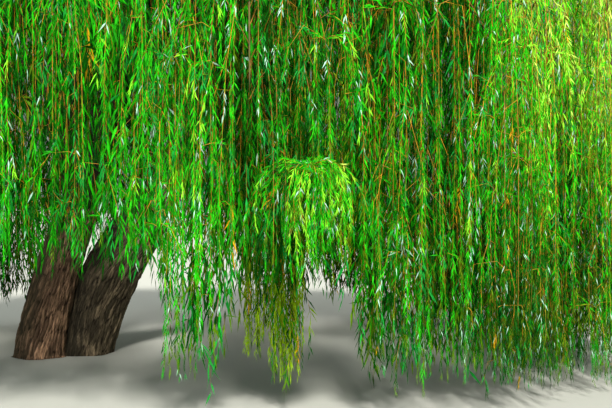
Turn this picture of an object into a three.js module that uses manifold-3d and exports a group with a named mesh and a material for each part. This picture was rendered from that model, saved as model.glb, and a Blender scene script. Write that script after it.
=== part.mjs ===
// A weeping willow: a twin trunk on one flared foot, its boughs, and the masses of foliage that hang
// from them. Millimetres, +Z up. The origin lies on the flat cut under the trunk, and +Y points away
// from the viewer. Each bough ends at the stem of one mass. In plan every mass keeps to its own cell,
// so masses hang side by side round the empty space under the tree.
import * as THREE from "three";
import { mergeVertices } from "three/addons/utils/BufferGeometryUtils.js";
import Module from "manifold-3d";

const wasm = await Module();
wasm.setup();

// Driving dimensions
const TREE_HEIGHT = 11500;
const CROWN = { x: 2400, y: 300, radiusX: 7100, radiusY: 6300, eaves: 3600 };
const CREST = 700; // depth of a bough's tip under the dome of the crown
const CLEARANCE = 0.35; // between two solids that meet
const CELL_MARGIN = 45; // from a mass to the wall of its cell
const LIMB_MARGIN = 45; // from foliage to the bark of a limb
const GROUND_MARGIN = 60; // from foliage to the ground
const OUTLINE_MARGIN = 120; // from the shoulder of a shoot to the outline of the crown in plan
const SEED = 411;

// Two stems rise from one foot. The left one stands nearer the viewer, and both lean to the right.
const FOOT = { radiusX: 830, radiusY: 640, shoulderX: 690, shoulderY: 520, height: 330, sides: 20 };
const STEMS = {
  left: {
    foot: [-350, -140], top: [400, -60, 2750], bow: -25,
    radii: [[0, 430], [0.12, 395], [0.5, 375], [0.85, 335], [1, 265]],
  },
  right: {
    foot: [420, 170], top: [1720, 300, 2850], bow: -170,
    radii: [[0, 420], [0.12, 410], [0.45, 490], [0.8, 420], [1, 300]],
  },
};
const STEM_WAIST = { across: 0.36, up: 0.42 }; // where a stem bows, on its way from foot to top
const STEM_LOFT = { sides: 16, rows: 9 };
const BURIED = 300; // the stems are lofted from this depth and cut off at the ground
const CUT_WIDTH = 6000; // of the block that cuts them off

// The masses stand in rings round the middle of the crown. share is the ring's radius as a share of the
// crown's, and turn is the angle of its first mass. span and droop shape the stem inside each mass, fall
// is how far its shoots hang, and hem is the height that they stop at.
const RINGS = [
  {
    name: "top", count: 1, share: 0, turn: 0,
    span: 350, droop: 500, fall: 2100, hem: 8300, shoots: 7,
  },
  {
    name: "upper", count: 5, share: 0.34, turn: -36,
    span: 700, droop: 1100, fall: 2500, hem: 6700, shoots: 5,
  },
  {
    name: "middle", count: 9, share: 0.62, turn: -72,
    span: 750, droop: 2100, fall: 2900, hem: 3900, shoots: 5,
  },
  {
    name: "outer", count: 13, share: 0.86, turn: -53.2,
    span: 620, droop: 3300, fall: 3000, hem: 160, shoots: 6,
  },
];
// A raised hem runs through the tree from front to back and shows the trunk.
const ARCHWAY = { fromX: -2300, toX: 4800, hem: 1750 };
const LOW_CURTAIN = { name: "middle_1", hem: 140 };

// Boughs: where they fork, how steeply they leave and end, and their radii
const BOUGHS = {
  leader: { rise: 62, ends: 62, root: 0, tip: 46 },
  main: { rise: 56, ends: 62, root: 195, tip: 46 },
  middle: { rise: 42, ends: 18, root: 100, tip: 38, forks: [0.42, 0.54, 0.48] },
  outer: { rise: 36, ends: -8, root: 118, tip: 38, forks: [0.12, 0.22, 0.31] },
};
const BOUGH_TAPER = 0.85;
const BOUGH_HANDLES = { root: 0.34, tip: 0.3 }; // of its reach, how far it holds the direction of each end
const CROWDING = 0.35; // radians that each bough on a main counts for when the next one picks its main
const STEM_FORKS = [0.9, 0.82]; // along the stem, where its second and third main leave it
const STEM_CHOICE = { spread: 0.7, x: 1100 }; // a main leaves the stem nearest to its site on this map
const LEADER_SUNK = 60; // a leader is lofted from this far inside its stem, then cut clear
const LEADER_STEP = 3; // how much thinner it is than the stem's top
const BOUGH_SIDES = { leader: 8, main: 8, middle: 6, outer: 6 };
const BOUGH_ROWS = 5;
const STATION_STEPS = 60; // along each limb, for keeping foliage off its bark

// Foliage: a drooping stem, three-sided shoots, and sprays of leaves as thin blades
const MASS_STEM = {
  sides: 5, rows: 3, endRadius: 26, step: 1,
  lead: 260, bend: 0.8, bendDrop: 0.42, firstShoot: 0.22,
};
const SHOOT = {
  rootRadius: 20, tipRadius: 11, sides: 3, rows: 3,
  arch: 260, archShare: 0.4, shoulderDrop: 0.22, shoulderOut: 0.92, tipOut: 0.97,
  widest: 1600, least: 350, outShares: [0.7, 0.86], fallShares: [0.85, 1.15],
  underDome: 300, steepest: 0.9, tallest: 900, // how near to the dome of the crown it arches up
};
const HEADINGS = { tries: 5, turn: 1.1, spread: 0.5 }; // in radians: a shoot that isn't clear is turned
const LOW_SHOOTS = 3; // the last shoots of each mass, which hang to its hem
const LOW_SPRAY = 0.7; // of a spray's length, how far above the hem they end
const LOW_SPREAD = 250; // how unevenly they end there
const PATH_STEPS = 40; // the points at which a shoot is tested
const SPRAY = {
  length: 1750, width: 500, thickness: 22, pitch: 1560, sizes: [0.85, 1.15], leastSize: 0.3,
  sunk: 0.03, waist: -0.3, splay: 17, splayShares: [0.6, 1.3], lastSplay: 4,
  sideTurns: [0.7, 1.3], facingSpread: 1.3, first: 0.24, last: 0.97, covers: 0.8, belowHem: 100, lowest: 80,
};
const GOLDEN_ANGLE = Math.PI * (3 - Math.sqrt(5));

const bark = new THREE.MeshStandardMaterial({ color: 0x5a4434, roughness: 0.95, metalness: 0 });
const leaves = new THREE.MeshStandardMaterial({ color: 0x2f9a1e, roughness: 0.6, metalness: 0 });

const vec = (x, y, z) => new THREE.Vector3(x, y, z);
const radians = THREE.MathUtils.degToRad;
const lerp = THREE.MathUtils.lerp;

// The mulberry32 generator: numbers from 0 to 1, the same on every run
function seeded(seed) {
  let state = seed >>> 0;
  return () => {
    state = (state + 0x6d2b79f5) >>> 0;
    let t = state;
    t = Math.imul(t ^ (t >>> 15), t | 1);
    t ^= t + Math.imul(t ^ (t >>> 7), t | 61);
    return ((t ^ (t >>> 14)) >>> 0) / 4294967296;
  };
}

// A closed geometry as a solid that can be joined and cut
function solidOf(geometry) {
  const bare = new THREE.BufferGeometry();
  bare.setAttribute("position", geometry.getAttribute("position"));
  bare.setIndex(geometry.getIndex());
  const merged = mergeVertices(bare, 0.001);
  return new wasm.Manifold(
    new wasm.Mesh({
      numProp: 3,
      vertProperties: merged.getAttribute("position").array,
      triVerts: new Uint32Array(merged.getIndex().array),
    }),
  );
}

function meshOf(name, solid, material) {
  const made = solid.getMesh();
  const geometry = new THREE.BufferGeometry();
  geometry.setAttribute("position", new THREE.BufferAttribute(made.vertProperties.slice(), 3));
  geometry.setIndex(new THREE.BufferAttribute(made.triVerts.slice(), 1));
  geometry.computeVertexNormals();
  const mesh = new THREE.Mesh(geometry, material);
  mesh.name = name;
  return mesh;
}

// The largest piece of a solid, without loose scraps or sealed hollows
function largestBody(solid) {
  return solid.decompose().reduce((best, body) => (body.volume() > best.volume() ? body : best));
}

// A cylinder bent along a curve, with the radius that radiusAt gives for each share of its length
function limbSolid(curve, radiusAt, sides, rows) {
  const geometry = new THREE.CylinderGeometry(1, 1, 1, sides, rows);
  const frames = curve.computeFrenetFrames(rows, false);
  const points = Array.from({ length: rows + 1 }, (_, row) => curve.getPointAt(row / rows));
  const position = geometry.getAttribute("position");
  for (let i = 0; i < position.count; i++) {
    const share = position.getY(i) + 0.5;
    const row = Math.round(share * rows);
    const radius = radiusAt(row / rows);
    const place = points[row].clone();
    place.addScaledVector(frames.normals[row], position.getX(i) * radius);
    place.addScaledVector(frames.binormals[row], -position.getZ(i) * radius);
    position.setXYZ(i, place.x, place.y, place.z);
  }
  return solidOf(geometry);
}

// Reads a value from [share, value] pairs, straight between them
function profileAt(pairs, share) {
  const next = Math.max(1, pairs.findIndex(([at]) => at >= share));
  const [fromAt, from] = pairs[next - 1];
  const [toAt, to] = pairs[next];
  return lerp(from, to, (share - fromAt) / (toAt - fromAt));
}

// The trunk
function stemCurve({ foot, top, bow }, beyond) {
  const [x, y] = foot;
  const end = vec(...top);
  const buried = vec(x, y, -BURIED);
  const waistX = lerp(x, end.x, STEM_WAIST.across) + bow;
  const waist = vec(waistX, lerp(y, end.y, STEM_WAIST.across), end.z * STEM_WAIST.up);
  end.addScaledVector(end.clone().sub(waist).normalize(), beyond);
  return new THREE.CatmullRomCurve3([buried, vec(x, y, 0), waist, end], false, "centripetal");
}

// grown makes the trunk that much thicker and longer all over
function trunkSolid(stems, grown) {
  const lofts = stems.map((stem) => {
    const radiusAt = (share) => profileAt(stem.radii, share) + grown;
    return limbSolid(stemCurve(stem, grown), radiusAt, STEM_LOFT.sides, STEM_LOFT.rows);
  });
  const foot = new THREE.CylinderGeometry(1, 1, FOOT.height, FOOT.sides, 1);
  const position = foot.getAttribute("position");
  for (let i = 0; i < position.count; i++) {
    const atTop = position.getY(i) > 0;
    const x = position.getX(i) * ((atTop ? FOOT.shoulderX : FOOT.radiusX) + grown);
    const y = -position.getZ(i) * ((atTop ? FOOT.shoulderY : FOOT.radiusY) + grown);
    position.setXYZ(i, x, y, atTop ? FOOT.height : -BURIED);
  }
  const below = new THREE.BoxGeometry(CUT_WIDTH, CUT_WIDTH, 2 * BURIED).translate(0, 0, -BURIED);
  return wasm.Manifold.union([...lofts, solidOf(foot)]).subtract(solidOf(below));
}

// The sites of the masses
const domeAt = (share) => CROWN.eaves + (TREE_HEIGHT - CROWN.eaves) * Math.sqrt(1 - share * share);

function hemOf(name, ring, x) {
  if (name === LOW_CURTAIN.name) return LOW_CURTAIN.hem;
  const underArch = ring.name === "outer" && x > ARCHWAY.fromX && x < ARCHWAY.toX;
  return underArch ? ARCHWAY.hem : ring.hem;
}

function makeSites() {
  return RINGS.flatMap((ring) =>
    Array.from({ length: ring.count }, (_, index) => {
      const angle = radians(ring.turn + (360 * index) / ring.count);
      const x = CROWN.x + ring.share * CROWN.radiusX * Math.cos(angle);
      const y = CROWN.y + ring.share * CROWN.radiusY * Math.sin(angle);
      const name = ring.count > 1 ? ring.name + "_" + (index + 1) : ring.name;
      const tip = vec(x, y, domeAt(ring.share) - CREST);
      return { name, ring, angle, tip, hem: hemOf(name, ring, x) };
    }),
  );
}

// The walls of a site's cell in plan: halfway to each other site
function cellOf(site, sites) {
  return sites
    .filter((other) => other !== site)
    .map((other) => {
      const away = vec(other.tip.x - site.tip.x, other.tip.y - site.tip.y, 0);
      const half = away.length() / 2 - CELL_MARGIN;
      return { normal: away.normalize(), limit: half + away.x * site.tip.x + away.y * site.tip.y };
    });
}

const inOutline = (p, shrink) =>
  Math.hypot((p.x - CROWN.x) / (CROWN.radiusX - shrink), (p.y - CROWN.y) / (CROWN.radiusY - shrink)) <= 1;
const inCell = (p, walls) =>
  p.z > GROUND_MARGIN &&
  p.z < TREE_HEIGHT &&
  inOutline(p, 0) &&
  walls.every((w) => w.normal.dot(p) <= w.limit);

// How far a level ray from p runs before it leaves the cell
function roomAlong(p, direction, walls) {
  let room = SHOOT.widest;
  for (const wall of walls) {
    const closing = wall.normal.dot(direction);
    if (closing > 0) room = Math.min(room, (wall.limit - wall.normal.dot(p)) / closing);
  }
  const step = OUTLINE_MARGIN / 2;
  while (room > 0 && !inOutline(p.clone().addScaledVector(direction, room), OUTLINE_MARGIN)) room -= step;
  return Math.max(room, 0);
}

// The boughs
function headed(towards, degrees) {
  const level = vec(towards.x, towards.y, 0).normalize();
  return level.multiplyScalar(Math.cos(radians(degrees))).setZ(Math.sin(radians(degrees)));
}

function makeBough(site, kind, start, startDirection, rootRadius) {
  const shape = BOUGHS[kind];
  const across = site.tip.clone().sub(start);
  const reach = across.length();
  const outward = vec(Math.cos(site.angle), Math.sin(site.angle), 0);
  const leaves = startDirection || headed(across, shape.rise);
  const ends = headed(outward, shape.ends);
  const curve = new THREE.CubicBezierCurve3(
    start,
    start.clone().addScaledVector(leaves, reach * BOUGH_HANDLES.root),
    site.tip.clone().addScaledVector(ends, -reach * BOUGH_HANDLES.tip),
    site.tip,
  );
  const root = rootRadius || shape.root;
  const radiusAt = (share) => shape.tip + (root - shape.tip) * (1 - share) ** BOUGH_TAPER;
  return { site, kind, curve, radiusAt, name: "bough_" + site.name };
}

const angleBetween = (a, b) => Math.abs(Math.atan2(Math.sin(a - b), Math.cos(a - b)));
const nearestBy = (items, distance) =>
  items.reduce((best, item) => (distance(item) < distance(best) ? item : best));

function makeBoughs(sites, stems) {
  const inRing = (name) => sites.filter((site) => site.ring.name === name);
  const mains = [];
  for (const site of [...inRing("upper"), ...inRing("top")]) {
    const aimX = STEM_CHOICE.x + (site.tip.x - CROWN.x) * STEM_CHOICE.spread;
    const stem = nearestBy(stems, (s) => Math.abs(s.curve.getPoint(1).x - aimX));
    const used = mains.filter((main) => main.stem === stem).length;
    if (used === 0) {
      const start = stem.curve.getPoint(1).addScaledVector(stem.curve.getTangent(1), -LEADER_SUNK);
      const root = stem.radii.at(-1)[1] - LEADER_STEP;
      mains.push({ ...makeBough(site, "leader", start, stem.curve.getTangent(1), root), stem });
    } else {
      mains.push({ ...makeBough(site, "main", stem.curve.getPointAt(STEM_FORKS[used - 1])), stem });
    }
  }
  const boughs = [...mains];
  for (const kind of ["middle", "outer"]) {
    const carried = new Map(mains.map((main) => [main, 0]));
    for (const site of inRing(kind)) {
      const around = mains.filter((main) => main.site.ring.name === "upper");
      const detour = (m) => angleBetween(m.site.angle, site.angle) + CROWDING * carried.get(m);
      const main = nearestBy(around, detour);
      const forks = BOUGHS[kind].forks;
      const start = main.curve.getPointAt(forks[carried.get(main) % forks.length]);
      carried.set(main, carried.get(main) + 1);
      boughs.push(makeBough(site, kind, start));
    }
  }
  return boughs;
}

// Each bough is cut clear of the trunk and of the boughs made before it
function cutBoughs(boughs, trunkGrown) {
  const taken = [trunkGrown];
  for (const bough of boughs) {
    const loft = (grown) =>
      limbSolid(bough.curve, (share) => bough.radiusAt(share) + grown, BOUGH_SIDES[bough.kind], BOUGH_ROWS);
    bough.solid = largestBody(loft(0).subtract(wasm.Manifold.union(taken)));
    taken.push(loft(CLEARANCE));
  }
}

// Points along every limb with the radius there, for keeping foliage off the bark
function limbStations(limbs) {
  const shares = Array.from({ length: STATION_STEPS + 1 }, (_, i) => i / STATION_STEPS);
  return limbs.flatMap((limb) =>
    shares.map((share) => ({ point: limb.curve.getPointAt(share), radius: limb.radiusAt(share) })),
  );
}

// The foliage
const isClear = (points, walls, stations) =>
  points.every(
    (p) =>
      inCell(p, walls) && stations.every((s) => p.distanceTo(s.point) > s.radius + LIMB_MARGIN),
  );

function massStem(bough) {
  const { tip, ring, angle } = bough.site;
  const outward = vec(Math.cos(angle), Math.sin(angle), 0);
  const leaves = bough.curve.getTangent(1);
  const along = (share, drop) => tip.clone().addScaledVector(outward, ring.span * share).setZ(tip.z - drop);
  const start = tip.clone().addScaledVector(leaves, CLEARANCE);
  const next = start.clone().addScaledVector(leaves, MASS_STEM.lead);
  const bend = along(MASS_STEM.bend, ring.droop * MASS_STEM.bendDrop);
  const points = [start, next, bend, along(1, ring.droop)];
  return new THREE.CatmullRomCurve3(points, false, "centripetal");
}

// How high a shoot rises from start: a little, or up towards the dome over its crest where that is higher
function archOf(start, crest, out) {
  const share = Math.hypot((crest.x - CROWN.x) / CROWN.radiusX, (crest.y - CROWN.y) / CROWN.radiusY);
  const toDome = domeAt(Math.min(share, 1)) - SHOOT.underDome - start.z;
  const usual = Math.min(SHOOT.arch, out * SHOOT.archShare);
  return Math.max(usual, Math.min(toDome, out * SHOOT.steepest, SHOOT.tallest));
}

// A shoot leaves the stem, arches over and hangs down to endZ
function shootCurve(start, direction, out, endZ) {
  const at = (share, z) => start.clone().addScaledVector(direction, out * share).setZ(z);
  const rising = at(0.5, start.z);
  rising.z += archOf(start, rising, out);
  const shoulder = at(SHOOT.shoulderOut, lerp(start.z, endZ, SHOOT.shoulderDrop));
  const falling = at(1, lerp(shoulder.z, endZ, 0.5));
  const points = [start, rising, shoulder, falling, at(SHOOT.tipOut, endZ)];
  return new THREE.CatmullRomCurve3(points, false, "centripetal");
}

// A blade of eight faces, widest above its middle, which hangs from root along direction, flat to facing
function spraySolid(root, direction, facing, size) {
  const geometry = new THREE.OctahedronGeometry(1);
  const position = geometry.getAttribute("position");
  for (let i = 0; i < position.count; i++) {
    if (Math.abs(position.getY(i)) < 0.5) position.setY(i, SPRAY.waist);
  }
  const width = direction.clone().cross(facing).normalize();
  const flat = width.clone().cross(direction);
  const turn = new THREE.Matrix4().makeBasis(width, direction, flat);
  const length = SPRAY.length * size;
  geometry.scale((SPRAY.width * size) / 2, length / 2, SPRAY.thickness / 2);
  geometry.applyMatrix4(turn);
  const middle = root.clone().addScaledVector(direction, length * (0.5 - SPRAY.sunk));
  geometry.translate(middle.x, middle.y, middle.z);
  const outline = [];
  for (let at = -1; at <= 1; at += 0.1) {
    const half = (at < SPRAY.waist ? (at + 1) / (SPRAY.waist + 1) : (1 - at) / (1 - SPRAY.waist)) / 2;
    const place = middle.clone().addScaledVector(direction, (at * length) / 2);
    for (const side of [-1, 0, 1]) {
      outline.push(place.clone().addScaledVector(width, side * half * SPRAY.width * size));
    }
  }
  return { geometry, outline };
}

function spraysOn(curve, site, walls, stations, random) {
  const made = [];
  const between = ([low, high]) => lerp(low, high, random());
  const spreadBy = (angle) => (random() - 0.5) * angle;
  const upright = vec(0, 0, 1);
  const floor = Math.max(site.hem - SPRAY.belowHem, SPRAY.lowest);
  const count = Math.max(2, Math.round((curve.getLength() * SPRAY.covers) / SPRAY.pitch));
  for (let i = 0; i < count; i++) {
    const isLast = i === count - 1;
    const root = curve.getPointAt(lerp(SPRAY.first, SPRAY.last, i / (count - 1)));
    const side = (i % 2 ? 1 : -1) * between(SPRAY.sideTurns);
    const away = vec(root.x - CROWN.x, root.y - CROWN.y, 0).normalize();
    const swing = away.clone().applyAxisAngle(upright, (side * Math.PI) / 2 + spreadBy(1));
    const splay = radians(isLast ? SPRAY.lastSplay : SPRAY.splay * between(SPRAY.splayShares));
    const direction = swing.multiplyScalar(Math.sin(splay)).setZ(-Math.cos(splay));
    const facing = away.applyAxisAngle(upright, spreadBy(SPRAY.facingSpread));
    const size = Math.min(between(SPRAY.sizes), (root.z - floor) / (SPRAY.length * (1 - SPRAY.sunk)));
    if (size < SPRAY.leastSize) continue;
    const spray = spraySolid(root, direction, facing, size);
    if (isClear(spray.outline, walls, stations)) made.push(solidOf(spray.geometry));
  }
  return made;
}

// The first of a few headings on which a shoot from start stays clear
function clearShoot(site, start, firstHeading, isLow, walls, stations, random) {
  for (let tried = 0; tried < HEADINGS.tries; tried++) {
    const heading = firstHeading + tried * HEADINGS.turn + HEADINGS.spread * (random() - 0.5);
    const direction = vec(Math.cos(heading), Math.sin(heading), 0);
    const out = roomAlong(start, direction, walls) * lerp(...SHOOT.outShares, random());
    const hang = site.ring.fall * lerp(...SHOOT.fallShares, random());
    const low = site.hem + SPRAY.length * LOW_SPRAY + LOW_SPREAD * random();
    const endZ = isLow ? low : Math.max(start.z - hang, low);
    const curve = shootCurve(start, direction, Math.max(out, SHOOT.least), endZ);
    const path = curve.getSpacedPoints(PATH_STEPS).slice(2);
    if (isClear(path, walls, stations)) return curve;
  }
  return null;
}

function massSolid(bough, walls, stations, random) {
  const { site } = bough;
  const count = site.ring.shoots;
  const stem = massStem(bough);
  const stemRadius = (share) => lerp(bough.radiusAt(1) - MASS_STEM.step, MASS_STEM.endRadius, share);
  const shootRadius = (share) => lerp(SHOOT.rootRadius, SHOOT.tipRadius, share);
  const parts = [limbSolid(stem, stemRadius, MASS_STEM.sides, MASS_STEM.rows)];
  for (let k = 0; k < count; k++) {
    const start = stem.getPointAt(lerp(MASS_STEM.firstShoot, 1, k / (count - 1)));
    const heading = site.angle + GOLDEN_ANGLE * (k + 1);
    const isLow = k >= count - LOW_SHOOTS;
    const curve = clearShoot(site, start, heading, isLow, walls, stations, random);
    if (!curve) continue;
    parts.push(limbSolid(curve, shootRadius, SHOOT.sides, SHOOT.rows));
    parts.push(...spraysOn(curve, site, walls, stations, random));
  }
  return largestBody(wasm.Manifold.union(parts));
}

const stems = Object.values(STEMS).map((stem) => ({ ...stem, curve: stemCurve(stem, 0) }));
for (const stem of stems) stem.radiusAt = (share) => profileAt(stem.radii, share);
const sites = makeSites();
const boughs = makeBoughs(sites, stems);
cutBoughs(boughs, trunkSolid(stems, CLEARANCE));
const stations = limbStations([...stems, ...boughs]);

const tree = new THREE.Group();
tree.add(meshOf("trunk", trunkSolid(stems, 0), bark));
boughs.forEach((bough) => tree.add(meshOf(bough.name, bough.solid, bark)));
boughs.forEach((bough, index) => {
  const solid = massSolid(bough, cellOf(bough.site, sites), stations, seeded(SEED + index));
  tree.add(meshOf("foliage_" + bough.site.name, solid, leaves));
});

export default tree;
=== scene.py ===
"""A weeping willow: bark, twigs and leaves grown round the packed frame by the rule of its solids.

Metres, +Z up. The limbs repeat the curves of the packed solids. The foliage goes on from each bough's tip
by the same rule as the packed masses, carried on to hanging twigs and single leaves. More twigs along the
boughs fill the inside of the crown.
"""

import math

import bpy
import numpy as np
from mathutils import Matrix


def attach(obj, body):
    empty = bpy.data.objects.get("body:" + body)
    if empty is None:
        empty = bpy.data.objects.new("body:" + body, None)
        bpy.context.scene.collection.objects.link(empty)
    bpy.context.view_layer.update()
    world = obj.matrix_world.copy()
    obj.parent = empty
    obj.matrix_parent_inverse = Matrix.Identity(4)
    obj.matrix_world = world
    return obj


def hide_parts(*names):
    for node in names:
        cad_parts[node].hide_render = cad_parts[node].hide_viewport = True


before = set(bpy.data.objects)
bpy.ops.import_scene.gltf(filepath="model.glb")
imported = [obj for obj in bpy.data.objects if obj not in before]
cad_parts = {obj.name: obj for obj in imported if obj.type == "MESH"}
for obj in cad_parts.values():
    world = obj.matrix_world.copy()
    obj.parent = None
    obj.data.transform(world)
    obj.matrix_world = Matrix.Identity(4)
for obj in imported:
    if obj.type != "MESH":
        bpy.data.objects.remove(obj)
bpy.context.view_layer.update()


class Facts:
    """Values that are read by name"""

    def __init__(self, **values):
        self.__dict__.update(values)


# The sizes of the packed solids, in metres
TREE_HEIGHT = 11.5
CROWN_MIDDLE = np.array([2.4, 0.3])
CROWN_RADII = np.array([7.1, 6.3])
EAVES = 3.6
CREST = 0.7
CELL_OVERLAP = 0.3
LIMB_MARGIN = 0.045
GROUND_MARGIN = 0.06
BURIED = 0.3
WAIST = Facts(across=0.36, up=0.42)
STEMS = {
    "left": Facts(
        foot=(-0.35, -0.14), top=(0.4, -0.06, 2.75), bow=-0.025,
        shares=[0, 0.12, 0.5, 0.85, 1], radii=[0.43, 0.395, 0.375, 0.335, 0.265],
    ),
    "right": Facts(
        foot=(0.42, 0.17), top=(1.72, 0.3, 2.85), bow=-0.17,
        shares=[0, 0.12, 0.45, 0.8, 1], radii=[0.42, 0.41, 0.49, 0.42, 0.3],
    ),
}

# The packed rings, with this script's own count of shoots, hanging twigs and crest twigs in a mass
RINGS = [
    Facts(
        name="top", count=1, share=0, turn=0, span=0.35, droop=0.5, fall=2.1, hem=8.3, shoots=18,
        strands=165, crest=120,
    ),
    Facts(
        name="upper", count=5, share=0.34, turn=-36, span=0.7, droop=1.1, fall=2.5, hem=6.7, shoots=16,
        strands=125, crest=90,
    ),
    Facts(
        name="middle", count=9, share=0.62, turn=-72, span=0.75, droop=2.1, fall=2.9, hem=3.9, shoots=15,
        strands=112, crest=56,
    ),
    Facts(
        name="outer", count=13, share=0.86, turn=-53.2, span=0.62, droop=3.3, fall=3.0, hem=0.16,
        shoots=18, strands=245, crest=70,
    ),
]
ARCHWAY = Facts(
    from_x=-2.3, to_x=4.8, hem=1.75, steps_x=[2.3, 2.6, 3.04, 3.24, 4.5],
    hems=[1.58, 1.3, 0.5, 0.9, 1.38, 1.0],
)
GROUND_HEM = Facts(x=(4.8, 6.4, 7.6), z=(0.5, 0.36, 0.1))
# The low inner curtain is dealt lighter tints by its lift: painted light where the front curtain keeps light
# off it
LOW_CURTAIN = Facts(
    name="middle_1", steps_x=[3.34, 3.62, 4.0], hems=[1.6, 0.5, 0.2, 1.6], low_share=0.85, strands=230,
    more_low=45, fineness=0.72, lift=0.5, moss=0.55, under_z=4.2, over_z=1.4,
)

BOUGHS = {
    "leader": Facts(ends=62, tip=0.046),
    "main": Facts(rise=56, ends=62, root=0.195, tip=0.046),
    "middle": Facts(rise=42, ends=18, root=0.1, tip=0.038, forks=[0.42, 0.54, 0.48]),
    "outer": Facts(rise=36, ends=-8, root=0.118, tip=0.038, forks=[0.12, 0.22, 0.31]),
}
BOUGH_TAPER = 0.85
BOUGH_HANDLES = Facts(root=0.34, tip=0.3)
CROWDING = 0.35
STEM_FORKS = [0.9, 0.82]
STEM_CHOICE = Facts(spread=0.7, x=1.1)
LEADER_SUNK = 0.06
LEADER_STEP = 0.003
GOLDEN_ANGLE = math.pi * (3 - math.sqrt(5))

# How the growth is worked out: its random numbers, the points along its curves, and the gaps it keeps
SEED = 511
CURVE_STEPS = 400
SHOOT_STEPS = 60
TWIG_STEPS = 28
PATH_STEP = 3
STATION_STEP = 2
LEAF_MARGIN = 0.01
OUTLINE_MARGIN = 0.12
ROOM_STEP = 0.06
CHUNK = Facts(points=4000, around=0.6)
TINY = 1e-9
LEAST_GAP = 1e-6
ASIDE = np.array([0.31, 0.95, 0.0])

# Bark: plates a few centimetres wide, with furrows round them and finer cracks across them. A wave is
# (along the limb, around it, salt, weight), and a ripple (around the limb, salt, weight)
HASH = Facts(a=127.1, b=311.7, salt=74.7, scale=43758.5453)
PLATE = Facts(u=(0.15, 0.7), v=(0.1, 0.8), v_salt=5, tone_salt=11, far=9.0)
PLATE_LENGTH = 8
PLATE_WAVES = [(2.9, 2, 1, 1.0), (6.7, -3, 2, 0.5)]
PLATE_RIPPLES = [(5, 1, 0.3), (11, -1, 0.2)]
BARK = Facts(least_columns=6, wander=0.8, twist=0.5, furrow=0.34, furrow_power=0.7)
CRACKS = Facts(across=2, along=1.7, wander=0.5, salt=3, width=0.3, power=0.8)
RELIEF = Facts(crack=0.35, tone=0.45, crack_tone=0.2)
# How much darker furrows and cracks are: partly their own darker bark, partly painted shade
SHADE = Facts(furrow=0.2, crack=0.5, plate_tone=0.7)
TRUNK = Facts(steps=620, length=3.6, every=3, sides=200, plate=0.047, depth=0.036, salts=(3.0, 7.0))
LEADER = Facts(every=8, sides=48, plate=0.05, depth=0.014)
BOUGH_ROWS = {"main": 49, "middle": 41, "outer": 41}
BOUGH_SIDES = {"main": 20, "middle": 10, "outer": 10}
BOUGH_BARK = Facts(plate=0.045, depth=0.09, salt=20.0, swell=0.35, swell_length=1.6)
FLARE = Facts(height=0.3, even=0.05, outward=0.11, root=0.05, roots=5)
# Dampness and painted shade on the stems: on their sides away from the light, and in the cleft between them
DAMP_AND_SHADE = Facts(faces=(-0.97, -0.24, 0), start=0.15, over=0.5, most=0.85, cleft=0.13)

# The colours of a furrow, a plate, a weathered plate, and bark dark with dampness and painted shade
BARK_COLOURS = {
    # The left stem's colours are lighter and the right stem's darker: partly their own bark, partly painted
    # light and shade. The left stem's pale weathered colour makes up for light that the crown keeps off it
    "left_stem": ((0.01, 0.006, 0.004), (0.215, 0.128, 0.082), (0.82, 0.485, 0.31), (0.022, 0.026, 0.014)),
    "right_stem": ((0.008, 0.006, 0.004), (0.12, 0.094, 0.06), (0.5, 0.375, 0.245), (0.01, 0.01, 0.007)),
    "boughs": ((0.012, 0.009, 0.006), (0.06, 0.046, 0.032), (0.11, 0.088, 0.062), (0.01, 0.01, 0.007)),
}

# Growth. Shares are of a limb's length. Twigs reach out and fall by so many metres, and arch up by so much
# of how far they reach out. They keep off the limbs from their point numbered clear_from on
MASS_STEM = Facts(
    lead=0.26, bend=0.8, bend_drop=0.42, first_shoot=0.06, end_radius=0.008, taper=0.42, every=8,
    sides=8,
)
SHOOT = Facts(
    arch=0.26, arch_share=0.4, widest=1.6, reach=(0.55, 0.97), least=0.35, tries=6, turn=1.1, wobble=0.5,
    above_hem=(0.1, 0.8), hang=(0.75, 1.15), arched=(0.75, 1.05), shoulder=0.22, clear_from=3,
)
HANG = Facts(crest=0.5, shoulder=0.92, end=0.97)
TO_DOME = Facts(under=0.3, steepest=0.9, tallest=0.9)
STRAND = Facts(
    along=(0.05, 0.88), pool=4, low_share=0.48, outs=(0.06, 0.5), arch=(0.1, 0.4), fall=(1.0, 2.7),
    least=0.35, shoulder=0.12, apart=(1, 1, 0.35),
)
LOW_SHARE_AT_GROUND = 0.82
ABOVE_HEM = {"anywhere": (0.1, 0.95), "at_ground": (0.03, 0.36)}
CREST_TWIG = Facts(
    bough_share=0.3, stem_share=0.62, outs=(0.12, 0.62), arch=(0.25, 0.6), fall=(0.5, 1.5),
    shoulder=0.25, clear_from=7,
)
SIDE_TWIG = Facts(
    each=0.75, along=(0.12, 0.85), outs=(0.04, 0.2), arch=(-0.6, 0.05), fall=(0.25, 0.9), shoulder=0.2,
    clear_from=1,
)
BOUGH_TWIG = Facts(
    bough_share=0.8, stem_share=0.6, each_metre=12, from_z=3.9, outs=(0.12, 1.25), arch=(0.1, 0.45),
    fall=(0.4, 1.4), shoulder=0.25, clear_from=7,
)
BURST = Facts(
    share=0.4, depth=0.75, twigs=12, row=5, outs=(0.2, 0.62), arch=(0.12, 0.3), fall=(0.6, 1.5),
    shoulder=0.3, clear_from=1,
)
FOUNTAIN = Facts(
    name="outer_13", place=(4.15, -5.62, 2.84), start=0.7, arch=0.1, shoulder=0.5, spread=0.035,
    fineness=1.1,
)
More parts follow.
